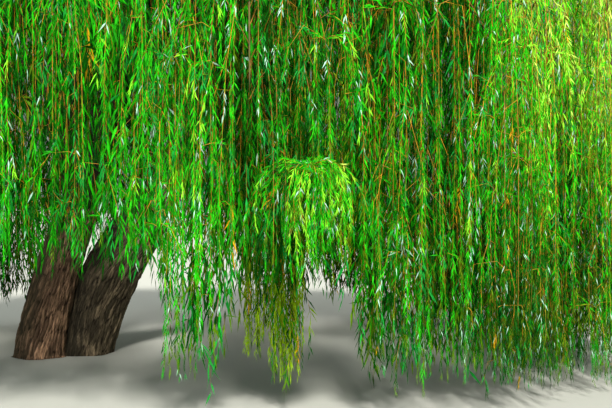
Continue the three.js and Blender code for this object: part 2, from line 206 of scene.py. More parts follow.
# The fountain's twigs, where they differ from those of a burst
FOUNTAIN_TWIGS = [
    Facts(twigs=58, outs=(0.05, 0.5), arch=(0.08, 0.3), fall=(0.4, 1.3)),
    Facts(twigs=24, outs=(0.35, 0.8), arch=(0.06, 0.22), fall=(0.2, 1.1)),
    Facts(twigs=22, outs=(0.03, 0.16), arch=(0.2, 0.7), fall=(-0.12, 0.1)),
]
FOUNTAIN_FRONT = Facts(behind=0.15, left=0.85, right=0.6, above=0.15, below=0.75)
SWAY = Facts(reach=(0.02, 0.09), waves=(0.4, 1.3))

# How the twigs of each kind are drawn: the points along a twig, bunched near its root, the radii of its root
# and tip, how much of it may be bare from the root on, and how much lighter its leaves are
TWIGS = {
    "shoots": Facts(rows=12, radii=(0.0075, 0.0025), bare=0.2, lift=0),
    "strands": Facts(rows=5, radii=(0.0038, 0.0016), bare=0.4, lift=0),
    "crest_twigs": Facts(rows=6, radii=(0.0038, 0.0015), bare=0.1, lift=0.04),
    "bough_twigs": Facts(rows=5, radii=(0.0038, 0.0015), bare=0.1, lift=0.12),
    "side_twigs": Facts(rows=4, radii=(0.0025, 0.0012), bare=0.2, lift=0.04),
    "burst_twigs": Facts(rows=6, radii=(0.0042, 0.0016), bare=0.3, lift=0.1),
    "fountain_twigs": Facts(rows=9, radii=(0.0042, 0.0016), bare=0.2, lift=0.34),
}
TWIG_SIDES = 3
BUNCHED = 1.9

# Leaves are fine on the outside of the crown, and fewer and larger inside it. They are finest low on the
# near side, which is seen from closest
LEAF = Facts(
    length=0.142, width=0.019, widest=0.36, fold=0.3, start=0.015, spray=8, stray=0.4, turn=0.8,
    angles=(8, 42), tip_angle=0.6, roll=0.75, sizes=(0.7, 1.15), tip_size=0.62, widths=(0.85, 1.15),
    droops=(0.0, 0.25),
)
LEAF_FACES = np.array([[0, 3, 1], [0, 2, 3]])
MOST_SPRAYS = 1000
OUTSIDE = Facts(leaf=0.74, pitch=0.0195)
INSIDE = Facts(leaf=1.92, pitch=0.098)
FINE_DEPTH = (0.35, 1.0)
NEAR = Facts(to_y=1.5, over_y=3.0, below_z=7.0, over_z=2.0, elsewhere=0.35)
NEAR_STRANDS = Facts(to_y=-1.5, more=1.2)

# How light the foliage is: tall bands, each a wave (across x, y and z, phase, weight), then painted light on
# the left and sunny sides, painted shade inside the crown, and darker tints low down. The levels part the
# tints, and sprays stray between them
BANDS = [(2.3, 1.1, 0.5, 0.0, 0.13), (5.3, -4.1, -0.7, 1.7, 0.11), (10.7, 8.3, 0.9, 4.0, 0.09)]
LIGHTNESS = 0.53
# Painted light: leaves on the left side are dealt lighter tints, where the key light reaches less
LEFT_SIDE = Facts(to_x=3.2, over=2.2, lift=0.17)
# Painted sunlight: the upper right side is dealt lighter tints, the lightest of them pale
SUNNY = Facts(start=(5.7, 1.8), over=(2.2, 2.4), lift=0.64)
# Painted shade: leaves deep inside the crown are dealt darker tints
SHADY = Facts(depth=1.5, drop=0.42)
LOW_DOWN = Facts(from_z=2.4, over=1.6, drop=0.27)
LEVELS = {"deep": 0.32, "mid": 0.56, "bright": 0.88, "lime": 1.2}
SPRAY_SPREAD = 0.16
OLIVE = Facts(from_z=2.2, over=2.0, shares=(0.03, 0.38))
COOL_SPRAYS = 0.1
GOLD_SPRAYS = 0.004
# Pale leaves: partly the pale undersides of willow leaves, partly painted glints standing for the sky's
# reflection
UNDERSIDE_GLINT_SPRAYS = 0.045
UNDERSIDE_GLINT_IN_SPRAY = 0.5
UNDERSIDE_GLINT_STRAYS = 0.022
UNDERSIDE_GLINT_DEPTH = 0.55
MOST_TRIANGLES = 195000

# Base colours of the leaves, dealt out by spray
TINTS = {
    "deep": (0.003, 0.092, 0.001),
    "mid": (0.008, 0.265, 0.001),
    "bright": (0.020, 0.510, 0.004),
    "lime": (0.280, 0.900, 0.030),
    # The lightest tint, dealt mostly on the sunny side: painted sunlight
    "pale": (0.640, 0.960, 0.140),
    "olive": (0.095, 0.220, 0.003),
    "moss": (0.260, 0.460, 0.006),
    "cool": (0.010, 0.350, 0.042),
    "gold": (0.760, 0.420, 0.010),
    # Pale undersides, partly painted glints
    "underside_glint": (0.420, 0.720, 0.580),
}


# Curves
def unit(vectors):
    return vectors / np.maximum(np.linalg.norm(vectors, axis=-1, keepdims=True), TINY)


def lerp(a, b, share):
    return a + (b - a) * share


def ramp(value, start, over):
    """0 up to a start, and from there evenly up to 1"""
    return np.clip((value - start) / over, 0, 1)


def level_way(angle):
    return np.array([math.cos(angle), math.sin(angle), 0.0])


def catmull_rom(points, steps):
    """Centripetal curves through points (..., k, 3), as points (..., steps + 1, 3)"""
    points = np.asarray(points, float)
    before = 2 * points[..., :1, :] - points[..., 1:2, :]
    after = 2 * points[..., -1:, :] - points[..., -2:-1, :]
    padded = np.concatenate([before, points, after], axis=-2)
    spans = points.shape[-2] - 1
    place = np.linspace(0, spans, steps + 1)
    span = np.minimum(place.astype(int), spans - 1)
    t = (place - span)[:, None]
    a, b, c, d = (padded[..., span + i, :] for i in range(4))
    gaps = (np.linalg.norm(q - p, axis=-1, keepdims=True) for p, q in ((a, b), (b, c), (c, d)))
    knots = [np.sqrt(np.maximum(gap, LEAST_GAP)) for gap in gaps]
    first, middle, last = knots
    leaving = ((b - a) / first - (c - a) / (first + middle) + (c - b) / middle) * middle
    reaching = ((c - b) / middle - (d - b) / (middle + last) + (d - c) / last) * middle
    square = -3 * b + 3 * c - 2 * leaving - reaching
    cube = 2 * b - 2 * c + leaving + reaching
    return b + leaving * t + square * t**2 + cube * t**3


def bezier(points, steps):
    t = np.linspace(0, 1, steps + 1)[:, None]
    a, b, c, d = (np.asarray(p, float) for p in points)
    return a * (1 - t) ** 3 + 3 * b * t * (1 - t) ** 2 + 3 * c * t**2 * (1 - t) + d * t**3


def lengths_along(lines):
    """The distance along each line (n, k, 3) to each of its points"""
    steps = np.linalg.norm(np.diff(lines, axis=1), axis=2)
    return np.concatenate([np.zeros((len(lines), 1)), np.cumsum(steps, axis=1)], axis=1)


def places_on(lines, lengths, which, distance):
    """Points and headings on the lines numbered which, at a distance along each"""
    stride = lengths.max() + 1
    table = (lengths + stride * np.arange(len(lines))[:, None]).ravel()
    rows = lines.shape[1]
    index = np.searchsorted(table, distance + stride * which, side="right") - 1
    index = np.clip(index, which * rows, which * rows + rows - 2)
    flat = lines.reshape(-1, 3)
    span = np.maximum(table[index + 1] - table[index], TINY)
    share = np.clip((distance + stride * which - table[index]) / span, 0, 1)[:, None]
    step = flat[index + 1] - flat[index]
    return flat[index] + step * share, unit(step)


def evenly(lines, steps, bunched=1.0):
    """The lines again, with steps + 1 points evenly along each, or closer together near its start"""
    lengths = lengths_along(lines)
    which = np.repeat(np.arange(len(lines)), steps + 1)
    distance = (lengths[:, -1:] * np.linspace(0, 1, steps + 1) ** bunched).ravel()
    return places_on(lines, lengths, which, distance)[0].reshape(len(lines), steps + 1, 3)


class Limb:
    """A centreline at even distances, and the radius for each share of it"""

    STEPS = 120

    def __init__(self, name, line, radius_at):
        self.name = name
        self.line = evenly(np.asarray(line)[None], self.STEPS)[0]
        self.radius_at = radius_at

    def at(self, share):
        places = np.linspace(0, 1, self.STEPS + 1)
        return np.array([np.interp(share, places, self.line[:, axis]) for axis in range(3)])

    def leaves_along(self):
        return unit(self.line[-1] - self.line[-2])

    def length(self):
        return np.linalg.norm(np.diff(self.line, axis=0), axis=1).sum()


# The skeleton, as the packed solids have it
def make_stems():
    stems = []
    for name, shape in STEMS.items():
        x, y = shape.foot
        top = shape.top
        waist_x = lerp(x, top[0], WAIST.across) + shape.bow
        waist = (waist_x, lerp(y, top[1], WAIST.across), top[2] * WAIST.up)
        line = catmull_rom([(x, y, -BURIED), (x, y, 0), waist, top], CURVE_STEPS)
        stem = Limb(name, line, lambda share, s=shape: np.interp(share, s.shares, s.radii))
        stems.append(stem)
    return stems


def dome_at(share):
    return EAVES + (TREE_HEIGHT - EAVES) * np.sqrt(1 - np.minimum(share, 1) ** 2)


def hem_of(ring, x):
    if ring.name == "outer" and ARCHWAY.from_x < x < ARCHWAY.to_x:
        return ARCHWAY.hem
    return ring.hem


def make_sites():
    sites = []
    for ring in RINGS:
        for index in range(ring.count):
            angle = math.radians(ring.turn + 360 * index / ring.count)
            x, y = CROWN_MIDDLE + ring.share * CROWN_RADII * level_way(angle)[:2]
            name = f"{ring.name}_{index + 1}" if ring.count > 1 else ring.name
            tip = np.array([x, y, dome_at(ring.share) - CREST])
            sites.append(Facts(name=name, ring=ring, angle=angle, tip=tip, hem=hem_of(ring, x)))
    return sites


def cell_of(site, sites):
    """The walls of a site's cell in plan: (normals, limits)"""
    others = np.array([other.tip[:2] for other in sites if other is not site])
    away = others - site.tip[:2]
    half = np.linalg.norm(away, axis=1) / 2 + CELL_OVERLAP
    normals = unit(away)
    return normals, half + normals @ site.tip[:2]


def headed(towards, degrees):
    level = unit(np.array([towards[0], towards[1], 0.0]))
    return level * math.cos(math.radians(degrees)) + np.array([0, 0, math.sin(math.radians(degrees))])


def make_bough(site, kind, start, leaves=None, root=None):
    shape = BOUGHS[kind]
    root = root or shape.root
    across = site.tip - start
    reach = np.linalg.norm(across)
    leaves = headed(across, shape.rise) if leaves is None else leaves
    ends = headed(level_way(site.angle), shape.ends)
    first_handle = start + leaves * reach * BOUGH_HANDLES.root
    last_handle = site.tip - ends * reach * BOUGH_HANDLES.tip
    line = bezier([start, first_handle, last_handle, site.tip], CURVE_STEPS)

    def radius_at(share):
        return shape.tip + (root - shape.tip) * (1 - share) ** BOUGH_TAPER

    bough = Limb("bough_" + site.name, line, radius_at)
    bough.site = site
    bough.kind = kind
    return bough


def angle_between(a, b):
    return abs(math.atan2(math.sin(a - b), math.cos(a - b)))


def make_boughs(sites, stems):
    def in_ring(name):
        return [site for site in sites if site.ring.name == name]

    mains = []
    for site in in_ring("upper") + in_ring("top"):
        aim = STEM_CHOICE.x + (site.tip[0] - CROWN_MIDDLE[0]) * STEM_CHOICE.spread
        stem = min(stems, key=lambda s: abs(s.line[-1, 0] - aim))
        used = sum(main.stem is stem for main in mains)
        if used == 0:
            along = stem.leaves_along()
            root = stem.radius_at(1) - LEADER_STEP
            main = make_bough(site, "leader", stem.line[-1] - along * LEADER_SUNK, along, root)
        else:
            main = make_bough(site, "main", stem.at(STEM_FORKS[used - 1]))
        main.stem = stem
        mains.append(main)
    boughs = list(mains)
    around = [main for main in mains if main.site.ring.name == "upper"]
    for kind in ("middle", "outer"):
        carried = {main.name: 0 for main in around}
        for site in in_ring(kind):
            def apart(main):
                return angle_between(main.site.angle, site.angle) + CROWDING * carried[main.name]

            main = min(around, key=apart)
            forks = BOUGHS[kind].forks
            start = main.at(forks[carried[main.name] % len(forks)])
            carried[main.name] += 1
            boughs.append(make_bough(site, kind, start))
    return boughs


# Meshes
def add_mesh(name, vertices, triangles, material):
    mesh = bpy.data.meshes.new(name)
    mesh.vertices.add(len(vertices))
    mesh.vertices.foreach_set("co", np.asarray(vertices, np.float32).ravel())
    mesh.loops.add(3 * len(triangles))
    mesh.loops.foreach_set("vertex_index", np.asarray(triangles, np.int32).ravel())
    mesh.polygons.add(len(triangles))
    mesh.polygons.foreach_set("loop_start", np.arange(0, 3 * len(triangles), 3, dtype=np.int32))
    mesh.polygons.foreach_set("use_smooth", np.full(len(triangles), True))
    mesh.update(calc_edges=True)
    mesh.materials.append(material)
    piece = bpy.data.objects.new(name, mesh)
    bpy.context.scene.collection.objects.link(piece)
    return piece


def carried_frames(lines):
    """Two directions across each line (n, k, 3) at each of its points, without twist"""
    headings = unit(np.gradient(lines, axis=1))
    across = np.zeros_like(lines)
    across[:, 0] = unit(np.cross(headings[:, 0], ASIDE))
    for row in range(1, lines.shape[1]):
        kept = across[:, row - 1]
        kept = kept - headings[:, row] * np.sum(kept * headings[:, row], axis=1, keepdims=True)
        across[:, row] = unit(kept)
    return across, np.cross(headings, across)


def tube_mesh(lines, radii, sides):
    """Tubes round the lines (n, k, 3), with radii (n, k), each closed to a point at its far end"""
    count, rows, _ = lines.shape
    across, over = carried_frames(lines)
    turn = np.arange(sides) * 2 * math.pi / sides
    ring = across[:, :, None] * np.cos(turn)[:, None] + over[:, :, None] * np.sin(turn)[:, None]
    vertices = lines[:, :, None] + ring * radii[:, :, None, None]
    vertices = vertices[:, :-1].reshape(count, -1, 3)
    vertices = np.concatenate([vertices, lines[:, -1:]], axis=1)
    last = (rows - 2) * sides + np.arange(sides)
    beside = (rows - 2) * sides + (np.arange(sides) + 1) % sides
    ends = np.stack([last, beside, np.full(sides, (rows - 1) * sides)], 1)
    one = np.concatenate([grid_triangles(rows - 1, sides), ends])
    per = vertices.shape[1]
    triangles = (one[None] + per * np.arange(count)[:, None, None]).reshape(-1, 3)
    return vertices.reshape(-1, 3), triangles


def grid_triangles(rows, sides):
    """The triangles between the rings of a tube, two to each side"""
    row, side = np.meshgrid(np.arange(rows - 1), np.arange(sides), indexing="ij")
    row, side = row.ravel(), side.ravel()
    after = (side + 1) % sides
    a, b = row * sides + side, row * sides + after
    return np.concatenate([np.stack([a, b, b + sides], 1), np.stack([a, b + sides, a + sides], 1)])


# Bark
def hashed(a, b, salt):
    """Numbers from 0 to 1 that look random, one for each pair of whole numbers"""
    large = np.sin(a * HASH.a + b * HASH.b + salt * HASH.salt) * HASH.scale
    return large - np.floor(large)


def plates(u, v, columns, salt):
    """Bark plates as stretched cells: how far points are from their furrows, and their plates' tones"""
    cell_u, cell_v = np.floor(u), np.floor(v)
    nearest = np.full(u.shape, PLATE.far)
    second = np.full(u.shape, PLATE.far)
    tone = np.zeros(u.shape)
    for du in (-1, 0, 1):
        for dv in (-1, 0, 1):
            cu, cv = cell_u + du, cell_v + dv
            wrapped = np.mod(cu, columns)
            x = cu + PLATE.u[0] + PLATE.u[1] * hashed(wrapped, cv, salt) - u
            y = cv + PLATE.v[0] + PLATE.v[1] * hashed(wrapped, cv, salt + PLATE.v_salt) - v
            distance = np.hypot(x, y)
            closer = distance < nearest
            second = np.where(closer, nearest, np.minimum(second, distance))
            tone = np.where(closer, hashed(wrapped, cv, salt + PLATE.tone_salt), tone)
            nearest = np.where(closer, distance, nearest)
    return second - nearest, tone


def bark_limb(line, radii, sides, plate, depth, salt, flare=None, damp_and_shade_at=None):
    """A limb with furrowed bark: vertices, triangles and, for each vertex, its marks and its place

    The marks are 0 in a furrow to 1 on a plate, the plate's tone, and how dark the bark is with dampness
    and painted shade. The place is that on a straight limb.
    """
    rows = len(line)
    across, over = (side[0] for side in carried_frames(line[None]))
    along = lengths_along(line[None])[0]
    share, distance = np.meshgrid(np.arange(sides) / sides, along)
    around = share * 2 * math.pi
    columns = max(BARK.least_columns, round(2 * math.pi * np.mean(radii) / plate))
    wave = sum(weight * np.sin(distance * a + b * around + c * salt) for a, b, c, weight in PLATE_WAVES)
    u = share * columns + BARK.wander * wave + distance * BARK.twist
    v = distance / (plate * PLATE_LENGTH)
    for a, b, weight in PLATE_RIPPLES:
        v = v + weight * np.sin(a * around + b * salt)
    edge, tone = plates(u, v, columns, salt)
    split_u = u * CRACKS.across + CRACKS.wander * wave
    split_columns = columns * CRACKS.across
    split, split_tone = plates(split_u, v * CRACKS.along, split_columns, salt + CRACKS.salt)
    ridge = np.clip(edge / BARK.furrow, 0, 1) ** BARK.furrow_power
    crack = np.clip(split / CRACKS.width, 0, 1) ** CRACKS.power
    radius = radii[:, None] * np.ones_like(share)
    if flare is not None:
        radius = radius * flare(distance, around)
    relief = ridge - 1 + RELIEF.crack * (crack - 1) + RELIEF.tone * (tone - 0.5)
    relief = depth * (relief + RELIEF.crack_tone * (split_tone - 0.5))
    radius = radius + relief * np.minimum(1, radii / np.max(radii))[:, None]
    outward = across[:, None] * np.cos(around)[..., None] + over[:, None] * np.sin(around)[..., None]
    vertices = line[:, None] + outward * radius[..., None]
    # Furrows and cracks are darker: partly their own darker bark, partly painted shade
    shade = lerp(SHADE.furrow, 1, ridge) * lerp(SHADE.crack, 1, crack)
    # How dark the bark is with dampness and painted shade
    damp_and_shade = np.zeros_like(share) if damp_and_shade_at is None else damp_and_shade_at(vertices, outward)
    marks = np.stack([shade, lerp(split_tone, tone, SHADE.plate_tone), damp_and_shade], axis=-1)
    place = np.stack([radius * np.cos(around), radius * np.sin(around), distance], axis=-1)
    extra = np.concatenate([marks, place], axis=-1).reshape(-1, 6)
    return vertices.reshape(-1, 3), grid_triangles(rows, sides), extra


def joined(parts):
    """Several (vertices, triangles, extra) as one"""
    offset = 0
    vertices, triangles, extra = [], [], []
    for part in parts:
        vertices.append(part[0])
        triangles.append(part[1] + offset)
        extra.append(part[2])
        offset += len(part[0])
    return np.concatenate(vertices), np.concatenate(triangles), np.concatenate(extra)


def add_bark(name, parts, material, nodes):
    vertices, triangles, extra = joined(parts)
    vertices[:, 2] = np.maximum(vertices[:, 2], 0)
    piece = add_mesh(name, vertices, triangles, material)
    for attribute_name, values in (("marks", extra[:, :3]), ("place", extra[:, 3:])):
        attribute = piece.data.attributes.new(attribute_name, "FLOAT_VECTOR", "POINT")
        attribute.data.foreach_set("vector", values.astype(np.float32).ravel())
    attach(piece, "root")
    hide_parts(*nodes)


# Materials
def add_node(tree, kind, **values):
    node = tree.nodes.new(kind)
    for key, value in values.items():
        setattr(node, key, value)
    return node


def noise(tree, position, scale, detail):
    node = add_node(tree, "ShaderNodeTexNoise")
    node.inputs["Scale"].default_value = scale
    node.inputs["Detail"].default_value = detail
    tree.links.new(position, node.inputs["Vector"])
    return node.outputs["Fac"]


def mixed(tree, share, first, second):
    """A Mix node for colours. first and second are colours or sockets, and share a number or a socket"""
    node = add_node(tree, "ShaderNodeMix", data_type="RGBA")
    factor, a, b = node.inputs[0], node.inputs[6], node.inputs[7]
    for socket, value in ((factor, share), (a, first), (b, second)):
        if isinstance(value, bpy.types.NodeSocket):
            tree.links.new(value, socket)
        elif isinstance(value, tuple):
            socket.default_value = (*value, 1)
        else:
            socket.default_value = value
    return node.outputs[2]


def spread(tree, value, low, high, to_low=0.0, to_high=1.0):
    node = add_node(tree, "ShaderNodeMapRange")
    for name, number in (("From Min", low), ("From Max", high), ("To Min", to_low), ("To Max", to_high)):
        node.inputs[name].default_value = number
    tree.links.new(value, node.inputs["Value"])
    return node.outputs["Result"]


def new_material(name, roughness, specular):
    material = bpy.data.materials.new(name)
    material.use_nodes = True
    tree = material.node_tree
    shader = tree.nodes["Principled BSDF"]
    shader.inputs["Roughness"].default_value = roughness
    shader.inputs["Specular IOR Level"].default_value = specular
    position = add_node(tree, "ShaderNodeTexCoord").outputs["Object"]
    return material, tree, shader, position


def bump(tree, shader, height, distance, strength):
    node = add_node(tree, "ShaderNodeBump")
    node.inputs["Strength"].default_value = strength
    node.inputs["Distance"].default_value = distance
    tree.links.new(height, node.inputs["Height"])
    tree.links.new(node.outputs["Normal"], shader.inputs["Normal"])


def scaled(colour, share):
    return tuple(share * value for value in colour)


def bark_material(name, furrow, plate, weathered, damp_and_shade):
    material, tree, shader, _ = new_material(name, roughness=0.92, specular=0.25)
    marked = add_node(tree, "ShaderNodeAttribute", attribute_name="marks").outputs["Vector"]
    place = add_node(tree, "ShaderNodeAttribute", attribute_name="place").outputs["Vector"]
    marks = add_node(tree, "ShaderNodeSeparateXYZ")
    tree.links.new(marked, marks.inputs[0])
    stretched = add_node(tree, "ShaderNodeMapping")
    stretched.inputs["Scale"].default_value = (1, 1, 0.13)
    tree.links.new(place, stretched.inputs["Vector"])
    streaks = noise(tree, stretched.outputs["Vector"], scale=34, detail=5)
    grain = noise(tree, stretched.outputs["Vector"], scale=100, detail=5)
    patches = noise(tree, place, scale=2.6, detail=3)
    crust = mixed(tree, spread(tree, marks.outputs["Y"], low=0.25, high=0.8), plate, weathered)
    streaky = spread(tree, streaks, low=0.42, high=0.6, to_low=0.75, to_high=0)
    crust = mixed(tree, streaky, crust, scaled(plate, 0.4))
    patchy = spread(tree, patches, low=0.42, high=0.62, to_high=0.6)
    crust = mixed(tree, patchy, crust, scaled(plate, 0.5))
    grainy = spread(tree, grain, low=0.34, high=0.5, to_low=0.5, to_high=0)
    crust = mixed(tree, grainy, crust, furrow)
    # The furrow colour: partly darker bark, partly painted shade
    colour = mixed(tree, spread(tree, marks.outputs["X"], low=0.2, high=0.7), furrow, crust)
    # The last bark colour stands for dampness and painted shade
    damp_and_shaded = mixed(tree, 0.8, colour, damp_and_shade)
    colour = mixed(tree, marks.outputs["Z"], colour, damp_and_shaded)
    tree.links.new(colour, shader.inputs["Base Color"])
    bump(tree, shader, mixed(tree, 0.5, streaks, grain), distance=0.03, strength=1.0)
    return material


def leaf_material(name, tint):
    material, tree, shader, position = new_material("leaf_" + name, roughness=0.58, specular=0.05)
    broad = noise(tree, position, scale=1.3, detail=2)
    close = noise(tree, position, scale=23, detail=3)
    lighter = tuple(min(1, 1.3 * value + 0.012) for value in tint)
    colour = mixed(tree, spread(tree, broad, low=0.35, high=0.65), scaled(tint, 0.62), tint)
    colour = mixed(tree, spread(tree, close, low=0.5, high=0.75, to_high=0.7), colour, lighter)
    tree.links.new(colour, shader.inputs["Base Color"])
    bump(tree, shader, close, distance=0.004, strength=0.5)
    return material


def twig_material(name, colour, darker):
    material, tree, shader, position = new_material(name, roughness=0.6, specular=0.4)
    blotches = noise(tree, position, scale=9, detail=3)
    colour = mixed(tree, spread(tree, blotches, low=0.35, high=0.65), darker, colour)
    tree.links.new(colour, shader.inputs["Base Color"])
    bump(tree, shader, blotches, distance=0.003, strength=0.6)
    return material


# Foliage
NO_WALLS = (np.zeros((0, 2)), np.zeros(0))


def in_outline(points, shrink=0.0):
    across = (points[..., :2] - CROWN_MIDDLE) / (CROWN_RADII - shrink)
    return np.sum(across**2, axis=-1) <= 1


def depth_at(points):
    """How far points lie inside the crown, from its dome and its sides"""
    across = (points[..., :2] - CROWN_MIDDLE) / CROWN_RADII
    up = np.maximum(points[..., 2] - EAVES, 0) / (TREE_HEIGHT - EAVES)
    return (1 - np.sqrt(np.sum(across**2, axis=-1) + up**2)) * CROWN_RADII.mean()


def in_cell(points, walls):
    normals, limits = walls
    inside = np.all(points[..., :2] @ normals.T <= limits, axis=-1)
    tall = (points[..., 2] > GROUND_MARGIN) & (points[..., 2] < TREE_HEIGHT)
    return inside & tall & in_outline(points)


def off_limbs(points, stations, margin=LIMB_MARGIN):
    """Which points (m, 3) stand clear of the limbs' stations (centres, radii)"""
    centres, radii = stations
    clear = np.ones(len(points), bool)
    for start in range(0, len(points), CHUNK.points):
        chunk = points[start:start + CHUNK.points]
        low, high = chunk.min(0) - CHUNK.around, chunk.max(0) + CHUNK.around
        near = np.all((centres > low) & (centres < high), axis=1)
        if not near.any():
            continue
        apart = np.linalg.norm(chunk[:, None] - centres[near][None], axis=2)
        clear[start:start + CHUNK.points] = np.all(apart > radii[near] + margin, axis=1)
    return clear


def room_along(point, direction, walls):
    """How far a level ray from point runs before it leaves the cell"""
    normals, limits = walls
    closing = normals @ direction[:2]
    gap = limits - normals @ point[:2]
    room = min([SHOOT.widest, *(gap[closing > 0] / closing[closing > 0])])
    while room > 0 and not in_outline(point + direction * room, OUTLINE_MARGIN):
        room -= ROOM_STEP
    return max(room, 0)


def mass_stem(bough):
    """The drooping stem that goes on from a bough's tip into its mass"""
    site = bough.site
    ring, tip = site.ring, site.tip
    outward = level_way(site.angle)

    def along(share, drop):
        return tip + outward * ring.span * share - np.array([0, 0, drop])

    lead = tip + bough.leaves_along() * MASS_STEM.lead
    bend = along(MASS_STEM.bend, ring.droop * MASS_STEM.bend_drop)
    line = catmull_rom([tip, lead, bend, along(1, ring.droop)], Limb.STEPS)
    ends = (bough.radius_at(1), MASS_STEM.end_radius)
    return Limb("stem_" + site.name, line, lambda share: lerp(*ends, share ** MASS_STEM.taper))


def rise_to_dome(starts, directions, outs):
    """How high twigs from starts may arch up towards the dome over their crests"""
    crests = starts[:, :2] + directions[:, :2] * (outs / 2)[:, None]
    share = np.linalg.norm((crests - CROWN_MIDDLE) / CROWN_RADII, axis=1)
    room = dome_at(share) - TO_DOME.under - starts[:, 2]
    return np.minimum(np.minimum(room, outs * TO_DOME.steepest), TO_DOME.tallest)


def hanging_lines(starts, directions, outs, arches, ends_z, shoulder_share, steps):
    """Curves that leave starts along level directions, arch over and hang down to ends_z"""
    def at(share, z):
        points = starts + directions * (outs * share)[:, None]
        points[:, 2] = z
        return points

    z = starts[:, 2]
    shoulder = lerp(z, ends_z, shoulder_share)
    crest = at(HANG.crest, z + arches)
    halfway = at(1, lerp(shoulder, ends_z, 0.5))
    rows = [starts, crest, at(HANG.shoulder, shoulder), halfway, at(HANG.end, ends_z)]
    return catmull_rom(np.stack(rows, axis=1), steps)


def hem_at(site, x):
    """How low the foliage of a mass hangs at each x"""
    x = np.asarray(x, float)
    if site.name == LOW_CURTAIN.name:
        return np.take(LOW_CURTAIN.hems, np.searchsorted(LOW_CURTAIN.steps_x, x))
    if site.hem == ARCHWAY.hem:
        return np.take(ARCHWAY.hems, np.searchsorted(ARCHWAY.steps_x, x))
    if at_ground(site):
        return np.interp(x, GROUND_HEM.x, GROUND_HEM.z)
    return np.full(x.shape, site.hem)


def at_ground(site):
    return site.ring.name == "outer" and site.hem == site.ring.hem


def low_share(site):
    """How many of a mass's shoots and strands hang down to its hem"""
    if site.name == LOW_CURTAIN.name:
        return LOW_CURTAIN.low_share
    return LOW_SHARE_AT_GROUND if at_ground(site) else STRAND.low_share


def strand_count(site):
    """A mass's count of hanging twigs, fewer where it hangs less deep than its ring"""
    ring = site.ring
    if site.name == LOW_CURTAIN.name:
        return LOW_CURTAIN.strands
    more = NEAR_STRANDS.more if site.tip[1] < NEAR_STRANDS.to_y else 1
    return round(more * ring.strands * (site.tip[2] - site.hem) / (site.tip[2] - ring.hem))


def drawn(lines, kind):
    """Twigs as they are drawn, with the few points of their kind"""
    if not len(lines):
        return np.zeros((0, TWIGS[kind].rows, 3))
    return evenly(lines, TWIGS[kind].rows - 1, 1.0 if kind == "shoots" else BUNCHED)


def grow_shoots(site, stem, walls, stations, random):
    ring = site.ring
    found = []
    for k in range(ring.shoots):
        start = stem.at(lerp(MASS_STEM.first_shoot, 1, k / (ring.shoots - 1)))
        for tried in range(SHOOT.tries):
            wobble = SHOOT.wobble * (random.random() - 0.5)
            direction = level_way(site.angle + GOLDEN_ANGLE * (k + 1) + tried * SHOOT.turn + wobble)
            out = max(room_along(start, direction, walls) * random.uniform(*SHOOT.reach), SHOOT.least)
            low = hem_at(site, start[0] + direction[0] * out) + random.uniform(*SHOOT.above_hem)
            hang = ring.fall * random.uniform(*SHOOT.hang)
            end_z = low if random.random() < low_share(site) else max(start[2] - hang, low)
            usual = min(SHOOT.arch, out * SHOOT.arch_share)
            highest = rise_to_dome(start[None], direction[None], np.array([out]))
            arch = np.maximum(usual, highest) * random.uniform(*SHOOT.arched)
            ends = np.array([out]), arch, np.array([end_z])
            line = hanging_lines(start[None], direction[None], *ends, SHOOT.shoulder, SHOOT_STEPS)
            path = line[0, SHOOT.clear_from:]
            if in_cell(path, walls).all() and off_limbs(path, stations).all():
                found.append(line[0])
                break
    return drawn(np.array(found), "shoots")


def sway(lines, random):
    """Bends hanging lines from side to side, more towards their tips"""
    count, rows, _ = lines.shape
    share = np.linspace(0, 1, rows)[None]
    for axis in (0, 1):
        reach = random.uniform(*SWAY.reach, (count, 1))
        phase = random.uniform(0, 2 * math.pi, (count, 1))
        waves = random.uniform(*SWAY.waves, (count, 1))
        lines[:, :, axis] += reach * share * np.sin(phase + waves * 2 * math.pi * share)
    return lines


def spread_out(places, count):
    """The numbers of the places that lie furthest from each other"""
    chosen = [0]
    nearest = np.linalg.norm(places - places[0], axis=1)
    while len(chosen) < min(count, len(places)):
        chosen.append(int(np.argmax(nearest)))
        nearest = np.minimum(nearest, np.linalg.norm(places - places[chosen[-1]], axis=1))
    return np.array(chosen)


def any_way(count, random):
    turn = random.uniform(0, 2 * math.pi, count)
    return np.stack([np.cos(turn), np.sin(turn), np.zeros(count)], axis=1)


def clear_of_all(lines, walls, stations, first=1):
    """Which lines keep to their cell and off the limbs, from their points numbered first on"""
    path = lines[:, first::PATH_STEP]
    clear = in_cell(path, walls).all(axis=1)
    free = off_limbs(path[clear].reshape(-1, 3), stations)
    clear[clear] = free.reshape(-1, path.shape[1]).all(axis=1)
    return clear


def places_along(lines, shares, random, count):
    """Places on lines picked at random, at a random share of their length"""
    lengths = lengths_along(lines)
    parent = random.integers(0, len(lines), count)
    distance = random.uniform(*shares, count) * lengths[parent, -1]
    return places_on(lines, lengths, parent, distance)[0]


